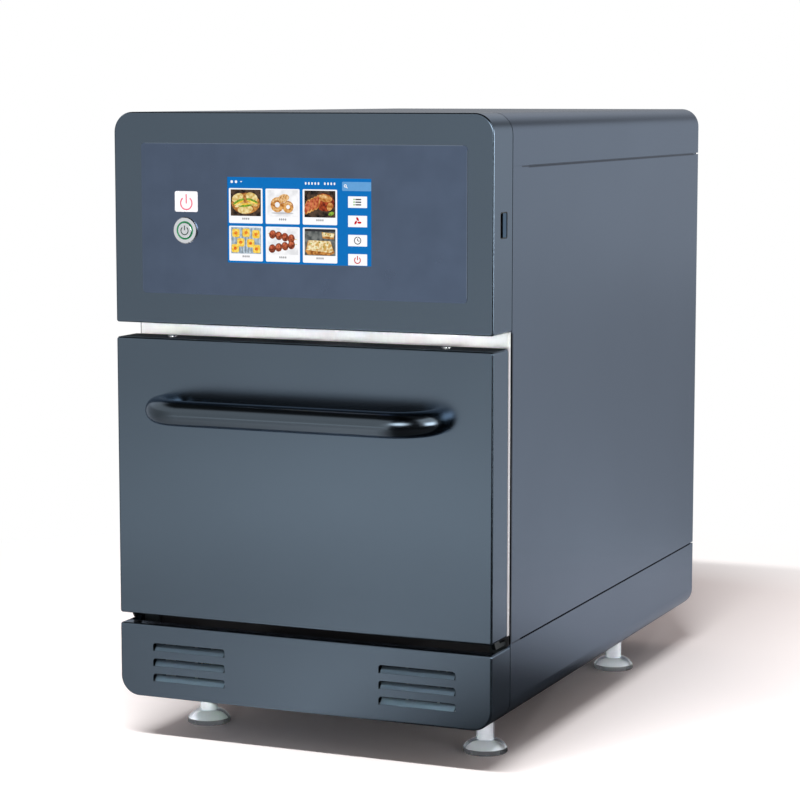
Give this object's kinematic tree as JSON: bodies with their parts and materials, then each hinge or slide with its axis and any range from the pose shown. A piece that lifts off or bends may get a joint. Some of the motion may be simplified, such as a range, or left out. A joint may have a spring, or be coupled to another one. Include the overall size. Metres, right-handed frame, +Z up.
{
  "type": "countertop speed oven",
  "caption": "Tall, narrow countertop speed oven with a drop-down door and bar handle, a control hood with a touch screen above, a louvred kick panel below and levelling feet.",
  "frame": {"origin": "on the ground, in the middle of the whole oven from side to side and from the handle's front to the end of the cable gland", "axes": "+Z is up; the door faces -Y; +X is the right side as seen from the front"},
  "size_m": [0.4, 0.7344, 0.63],
  "materials": {
    "front_paint": "satin grey enamel",
    "body_paint": "satin grey enamel",
    "stainless": "brushed stainless steel",
    "galvanised": "galvanised sheet",
    "black_metal": "satin black",
    "polished_steel": "polished",
    "overlay_film": "matt printed film",
    "display_glass": "lit display behind clear glass",
    "circuit_board": "green board",
    "label_film": "printed label",
    "green_light": "lit ring",
    "black_plastic": "black moulded plastic",
    "filter_mesh": "woven mesh",
    "mineral_wool": "mineral wool slab",
    "silicone": "grey silicone",
    "catalyst": "coated honeycomb",
    "heater_sheath": "heat-tinted sheath",
    "laminations": "varnished laminations",
    "brass": "turned brass",
    "aluminium_case": "mill-finish aluminium"
  },
  "bodies": {
    "cabinet": {"control_hood": "front_paint", "kick_panel": "front_paint", "base_tray": "body_paint", "left_side_panel": "body_paint", "right_side_panel": "body_paint", "top_cover": "body_paint", "rear_panel": "galvanised", "rear_panel_screws": "polished_steel", "front_plate": "stainless", "control_overlay": "overlay_film", "touch_display": "display_glass", "control_board": "circuit_board", "power_label": "label_film", "switch_housing": "polished_steel", "switch_light_ring": "green_light", "switch_nut": "polished_steel", "usb_socket": "black_plastic", "air_filter": "filter_mesh", "hinge_brackets": "stainless", "interlock_switches": "black_plastic", "cavity_liner": "stainless", "cavity_insulation": "mineral_wool", "jet_plates": "stainless", "rack_runners": "stainless", "wire_rack": "polished_steel", "blower_baffle": "stainless", "catalyst_block": "catalyst", "heater_element": "heater_sheath", "blower_motor": "aluminium_case", "cavity_cradle": "galvanised", "component_shelf": "galvanised", "waveguides": "aluminium_case", "magnetrons": "aluminium_case", "hv_transformers": "laminations", "hv_capacitors": "aluminium_case", "power_board": "circuit_board", "mains_filter": "aluminium_case", "terminal_block": "black_plastic", "exhaust_pipe": "stainless", "cooling_fan_frame": "black_plastic", "fan_guard": "polished_steel", "cable_gland": "black_plastic", "foot_bushes": "brass"},
    "door": {"door_pan": "front_paint", "door_hinge_blocks": "stainless", "door_inner_panel": "stainless", "door_insulation": "mineral_wool", "door_gasket": "silicone", "door_choke": "stainless", "door_handle": "black_metal", "handle_bolts": "polished_steel", "door_top_screws": "polished_steel", "door_latch_hooks": "stainless"},
    "power_button": {"power_button": "polished_steel"},
    "blower_impeller": {"blower_impeller": "stainless"},
    "cooling_fan_rotor": {"cooling_fan_rotor": "black_plastic"},
    "foot_front_left": {"foot_front_left": "polished_steel"},
    "foot_front_right": {"foot_front_right": "polished_steel"},
    "foot_rear_left": {"foot_rear_left": "polished_steel"},
    "foot_rear_right": {"foot_rear_right": "polished_steel"}
  },
  "joints": [
    {"name": "door_hinge", "type": "hinge", "parent": "cabinet", "child": "door", "pos_m": [0, -0.30075, 0.1375], "axis": [1, 0, 0], "range_deg": [0, 90]},
    {"name": "power_button_slide", "type": "slide", "parent": "cabinet", "child": "power_button", "axis": [0, 1, 0], "range_m": [0, 0.0025], "stiffness_N_per_m": 1200},
    {"name": "blower_spin", "type": "hinge", "parent": "cabinet", "child": "blower_impeller", "pos_m": [0, 0.06, 0.267], "axis": [0, 1, 0], "continuous": true},
    {"name": "cooling_fan_spin", "type": "hinge", "parent": "cabinet", "child": "cooling_fan_rotor", "pos_m": [0.092, 0.32275, 0.252], "axis": [0, 1, 0], "continuous": true},
    {"name": "foot_front_left_turn", "type": "hinge", "parent": "cabinet", "child": "foot_front_left", "pos_m": [-0.154, -0.20775, 0], "axis": [0, 0, 1], "continuous": true},
    {"name": "foot_front_right_turn", "type": "hinge", "parent": "cabinet", "child": "foot_front_right", "pos_m": [0.154, -0.20775, 0], "axis": [0, 0, 1], "continuous": true},
    {"name": "foot_rear_left_turn", "type": "hinge", "parent": "cabinet", "child": "foot_rear_left", "pos_m": [-0.154, 0.19225, 0], "axis": [0, 0, 1], "continuous": true},
    {"name": "foot_rear_right_turn", "type": "hinge", "parent": "cabinet", "child": "foot_rear_right", "pos_m": [0.154, 0.19225, 0], "axis": [0, 0, 1], "continuous": true}
  ]
}
